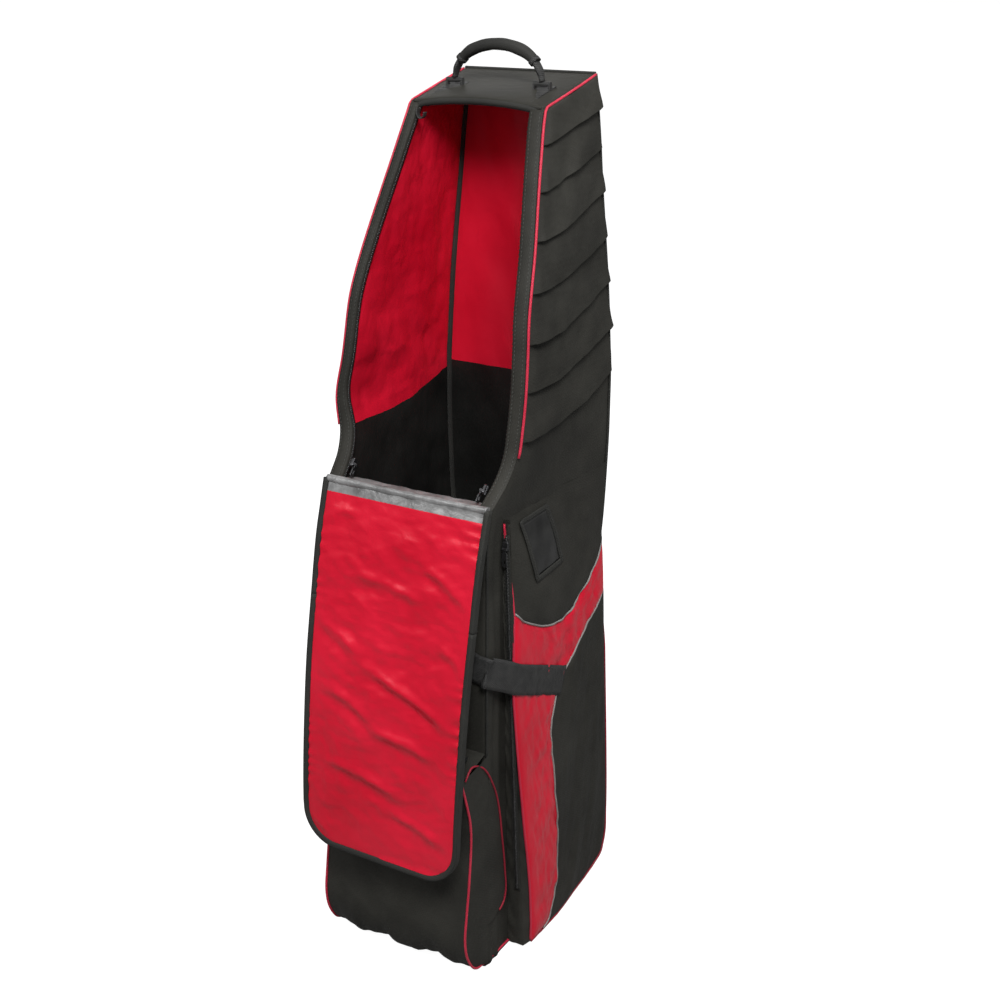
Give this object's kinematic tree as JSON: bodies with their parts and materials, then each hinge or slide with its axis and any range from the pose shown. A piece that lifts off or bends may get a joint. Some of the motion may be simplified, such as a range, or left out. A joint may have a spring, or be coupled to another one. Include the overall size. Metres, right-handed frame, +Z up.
{
  "type": "golf travel case",
  "caption": "Tall soft travel case for a golf bag, with a padded fold-down front flap, zipped side and front pockets, webbing strap, top handle and corner wheels.",
  "frame": {"origin": "on the floor, under the middle of the case body", "axes": "+Z up, the open front with its flap faces -Y, +X to the right seen from the front"},
  "size_m": [0.332, 0.449, 1.3475],
  "materials": {
    "black_fabric": "woven matt nylon",
    "red_lining": "shiny red nylon over thin padding",
    "black_lining": "smooth black nylon",
    "foam": "soft sheet foam",
    "ledge_lining": "grey lining with a silver sheen",
    "binding": "ribbed black binding tape",
    "red_piping": "corded piping",
    "pouch_fabric": "woven matt nylon with a shiny red panel",
    "webbing": "woven webbing",
    "zip_teeth": "moulded black teeth on tape",
    "zip_metal": "dark enamelled zinc",
    "clear_vinyl": "clear vinyl",
    "black_plastic": "moulded plastic, fine grain",
    "board": "stiff fibre board",
    "steel": "zinc-plated steel",
    "tyre_rubber": "dark urethane tread",
    "hub_plastic": "moulded plastic"
  },
  "bodies": {
    "case": {"base_board": "board", "base_tray": "black_plastic", "buckle_socket": "black_plastic", "foam_back": "foam", "foam_front": "foam", "foam_side_left": "foam", "foam_side_right": "foam", "foam_top": "foam", "front_ledge": "ledge_lining", "front_pocket": "pouch_fabric", "front_zip": "zip_teeth", "handle_anchors": "webbing", "housing_rim_left": "black_plastic", "housing_rim_right": "black_plastic", "housing_screws": "steel", "id_frame": "binding", "id_window": "clear_vinyl", "lining_lower": "black_lining", "lining_upper": "red_lining", "opening_border": "binding", "piping_left": "red_piping", "piping_right": "red_piping", "shell_back": "black_fabric", "shell_front": "black_fabric", "shell_side_left": "black_fabric", "shell_side_right": "black_fabric", "shell_top": "black_fabric", "side_pocket_left": "pouch_fabric", "side_pocket_right": "pouch_fabric", "side_zips": "zip_teeth", "strap_left": "webbing", "strap_right": "webbing", "wheel_axles": "steel", "wheel_housing_left": "black_plastic", "wheel_housing_right": "black_plastic"},
    "flap_a": {"flap_panel_a": "foam", "flap_lining_a": "red_lining", "flap_binding_a": "binding"},
    "flap_b": {"flap_panel_b": "foam", "flap_lining_b": "red_lining", "flap_binding_b": "binding"},
    "flap_c": {"flap_panel_c": "foam", "flap_lining_c": "red_lining", "flap_binding_c": "binding"},
    "tongue": {"buckle_tongue": "black_plastic"},
    "handle": {"top_handle": "webbing"},
    "front_zip_slider": {"front_slider": "zip_metal"},
    "front_zip_pull": {"front_pull": "zip_metal"},
    "flap_zip_slider_left": {"flap_slider_left": "zip_metal"},
    "flap_zip_pull_left": {"flap_pull_left": "zip_metal"},
    "side_zip_slider_left": {"side_slider_left": "zip_metal"},
    "side_zip_pull_left": {"side_pull_left": "zip_metal"},
    "wheel_left": {"tyre_left": "tyre_rubber", "hub_left": "hub_plastic"},
    "flap_zip_slider_right": {"flap_slider_right": "zip_metal"},
    "flap_zip_pull_right": {"flap_pull_right": "zip_metal"},
    "side_zip_slider_right": {"side_slider_right": "zip_metal"},
    "side_zip_pull_right": {"side_pull_right": "zip_metal"},
    "wheel_right": {"tyre_right": "tyre_rubber", "hub_right": "hub_plastic"}
  },
  "joints": [
    {"name": "flap_fold", "type": "hinge", "parent": "case", "child": "flap_a", "pos_m": [0, -0.182, 0.748], "axis": [-1, 0, 0], "range_deg": [0, 206.9]},
    {"name": "flap_upper_bend", "type": "hinge", "parent": "flap_a", "child": "flap_b", "pos_m": [0, -0.2039, 0.6719], "axis": [1, 0, 0], "range_deg": [0, 32.5]},
    {"name": "flap_lower_bend", "type": "hinge", "parent": "flap_b", "child": "flap_c", "pos_m": [0, -0.2397, 0.4885], "axis": [-1, 0, 0], "range_deg": [0, 23.1]},
    {"name": "flap_zip_right", "type": "slide", "parent": "case", "child": "flap_zip_slider_right", "axis": [0, -0.6821, -0.7313], "range_m": [-0.036, 0]},
    {"name": "flap_pull_right", "type": "hinge", "parent": "flap_zip_slider_right", "child": "flap_zip_pull_right", "pos_m": [0.10559, -0.15218, 0.76259], "axis": [0, -0.7313, 0.6821], "range_deg": [-150, 0]},
    {"name": "side_zip_right", "type": "slide", "parent": "case", "child": "side_zip_slider_right", "axis": [0.0184, 0.0401, -0.999], "range_m": [0, 0.55]},
    {"name": "side_pull_right", "type": "hinge", "parent": "side_zip_slider_right", "child": "side_zip_pull_right", "pos_m": [0.13695, -0.14306, 0.67893], "axis": [-0.9998, 0.0007, -0.0184], "range_deg": [0, 150]},
    {"name": "wheel_spin_right", "type": "hinge", "parent": "case", "child": "wheel_right", "pos_m": [0.108, 0.142, 0.039], "axis": [1, 0, 0], "continuous": true},
    {"name": "flap_zip_left", "type": "slide", "parent": "case", "child": "flap_zip_slider_left", "axis": [0, -0.6821, -0.7313], "range_m": [-0.036, 0]},
    {"name": "flap_pull_left", "type": "hinge", "parent": "flap_zip_slider_left", "child": "flap_zip_pull_left", "pos_m": [-0.10559, -0.15218, 0.76259], "axis": [0, 0.7313, -0.6821], "range_deg": [-150, 0]},
    {"name": "side_zip_left", "type": "slide", "parent": "case", "child": "side_zip_slider_left", "axis": [-0.0184, 0.0401, -0.999], "range_m": [0, 0.55]},
    {"name": "side_pull_left", "type": "hinge", "parent": "side_zip_slider_left", "child": "side_zip_pull_left", "pos_m": [-0.13695, -0.14306, 0.67893], "axis": [-0.9998, -0.0007, 0.0184], "range_deg": [0, 150]},
    {"name": "wheel_spin_left", "type": "hinge", "parent": "case", "child": "wheel_left", "pos_m": [-0.108, 0.142, 0.039], "axis": [1, 0, 0], "continuous": true},
    {"name": "front_zip_slide", "type": "slide", "parent": "case", "child": "front_zip_slider", "axis": [-1, 0, 0], "range_m": [0, 0.17]},
    {"name": "front_pull_hinge", "type": "hinge", "parent": "front_zip_slider", "child": "front_zip_pull", "pos_m": [0.0888, -0.20658, 0.37137], "axis": [0, -0.9503, -0.3113], "range_deg": [0, 150]},
    {"name": "buckle_release", "type": "slide", "parent": "case", "child": "tongue", "axis": [-1, 0, 0], "range_m": [0, 0.03]},
    {"name": "handle_tilt", "type": "hinge", "parent": "case", "child": "handle", "pos_m": [0, 0.068, 1.2868], "axis": [1, 0, 0], "range_deg": [-60, 75], "stiffness_Nm_per_rad": 0.3}
  ],
  "couplings": [
    {"joint": "flap_upper_bend", "follows": "flap_fold", "ratio": 0.15669},
    {"joint": "flap_lower_bend", "follows": "flap_fold", "ratio": 0.11097}
  ]
}
